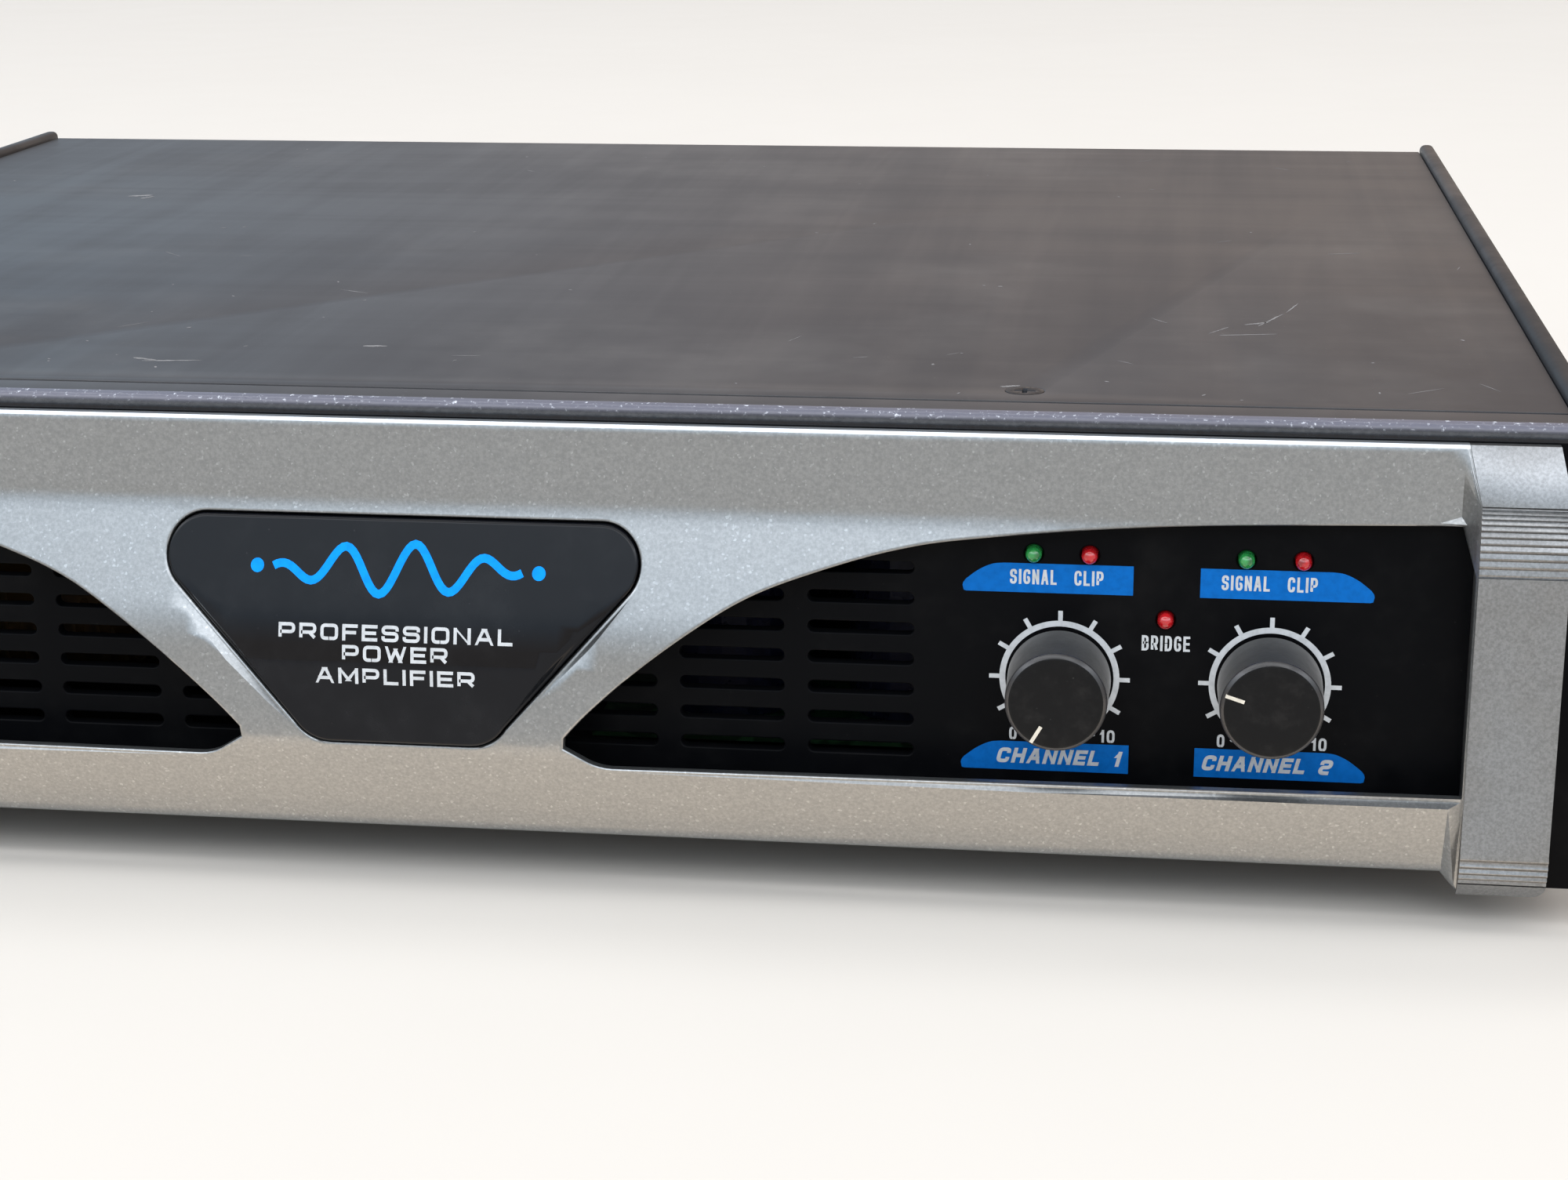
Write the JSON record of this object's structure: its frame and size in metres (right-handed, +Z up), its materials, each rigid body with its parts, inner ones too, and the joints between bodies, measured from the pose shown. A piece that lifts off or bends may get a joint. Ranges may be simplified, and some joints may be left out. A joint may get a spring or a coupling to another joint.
{
  "type": "rack power amplifier",
  "caption": "Rack-mount stereo power amplifier, two units high, with a curved silver fascia, vented black front, gain knobs, indicator lamps and end columns.",
  "frame": {"origin": "middle of the footprint, at the underside of the feet", "axes": "+X to the right as seen from the front, +Y from the front to the back, +Z up"},
  "size_m": [0.4826, 0.3872, 0.0974],
  "materials": {
    "black_steel": "satin black powder coat",
    "cover_steel": "worn dark grey paint",
    "silver_paint": "silver metallic paint on a moulding",
    "cast_aluminium": "bead blasted",
    "gloss_black": "gloss",
    "matt_black": "matt",
    "foot_rubber": "matt",
    "green_lens": "tinted, unlit",
    "red_lens": "tinted, unlit",
    "zinc_plate": "zinc plated",
    "circuit_board": "solder resist",
    "sink_aluminium": "as extruded",
    "winding": "taped enamelled copper wire",
    "capacitor_sleeve": "shrink sleeve"
  },
  "bodies": {
    "chassis": {"chassis_tub": "black_steel", "front_plate": "black_steel", "top_cover": "cover_steel", "rear_panel": "black_steel", "fascia_moulding": "silver_paint", "badge_plate": "gloss_black", "end_column_right": "cast_aluminium", "end_column_left": "cast_aluminium", "cover_screw_1": "zinc_plate", "cover_screw_2": "zinc_plate", "cover_screw_3": "zinc_plate", "cover_screw_4": "zinc_plate", "rubber_foot_1": "foot_rubber", "rubber_foot_2": "foot_rubber", "rubber_foot_3": "foot_rubber", "rubber_foot_4": "foot_rubber", "pot_body_1": "zinc_plate", "pot_nut_1": "zinc_plate", "pot_body_2": "zinc_plate", "pot_nut_2": "zinc_plate", "signal_led_1": "green_lens", "clip_led_1": "red_lens", "bridge_led": "red_lens", "signal_led_2": "green_lens", "clip_led_2": "red_lens", "power_led": "green_lens", "control_board": "circuit_board", "power_switch_housing": "matt_black", "fan_frame_1": "matt_black", "fan_guard_1": "zinc_plate", "fan_frame_2": "matt_black", "fan_guard_2": "zinc_plate", "mains_inlet": "matt_black", "breaker_body": "matt_black", "speaker_socket_1": "matt_black", "speaker_socket_2": "matt_black", "input_socket_1": "matt_black", "input_socket_2": "matt_black", "mode_switch_body": "zinc_plate", "toroidal_transformer": "winding", "transformer_washer": "zinc_plate", "transformer_bolt": "zinc_plate", "heat_sink_1": "sink_aluminium", "heat_sink_2": "sink_aluminium", "main_board": "circuit_board", "filter_capacitor_1": "capacitor_sleeve", "filter_capacitor_2": "capacitor_sleeve", "filter_capacitor_3": "capacitor_sleeve", "filter_capacitor_4": "capacitor_sleeve", "rectifier": "matt_black"},
    "gain_1": {"knob_1": "matt_black", "pot_shaft_1": "zinc_plate"},
    "gain_2": {"knob_2": "matt_black", "pot_shaft_2": "zinc_plate"},
    "power_key": {"power_rocker": "gloss_black"},
    "fan_1": {"fan_rotor_1": "matt_black"},
    "fan_2": {"fan_rotor_2": "matt_black"},
    "breaker": {"breaker_button": "red_lens"},
    "mode_key": {"mode_switch_slider": "matt_black"}
  },
  "joints": [
    {"name": "gain_1_turn", "type": "hinge", "parent": "chassis", "child": "gain_1", "pos_m": [0.12345, -0.18, 0.04585], "axis": [0, 1, 0], "range_deg": [0, 300]},
    {"name": "gain_2_turn", "type": "hinge", "parent": "chassis", "child": "gain_2", "pos_m": [0.16215, -0.18, 0.04585], "axis": [0, 1, 0], "range_deg": [-78, 222]},
    {"name": "power_rock", "type": "hinge", "parent": "chassis", "child": "power_key", "pos_m": [-0.14275, -0.17545, 0.049], "axis": [1, 0, 0], "range_deg": [0, 14]},
    {"name": "fan_1_spin", "type": "hinge", "parent": "chassis", "child": "fan_1", "pos_m": [-0.08, 0.175, 0.051], "axis": [0, 1, 0], "continuous": true},
    {"name": "fan_2_spin", "type": "hinge", "parent": "chassis", "child": "fan_2", "pos_m": [-0.016, 0.175, 0.051], "axis": [0, 1, 0], "continuous": true},
    {"name": "breaker_press", "type": "slide", "parent": "chassis", "child": "breaker", "axis": [0, -1, 0], "range_m": [0, 0.003], "stiffness_N_per_m": 300, "springref_m": -0.003},
    {"name": "mode_slide", "type": "slide", "parent": "chassis", "child": "mode_key", "axis": [1, 0, 0], "range_m": [0, 0.0042]}
  ]
}
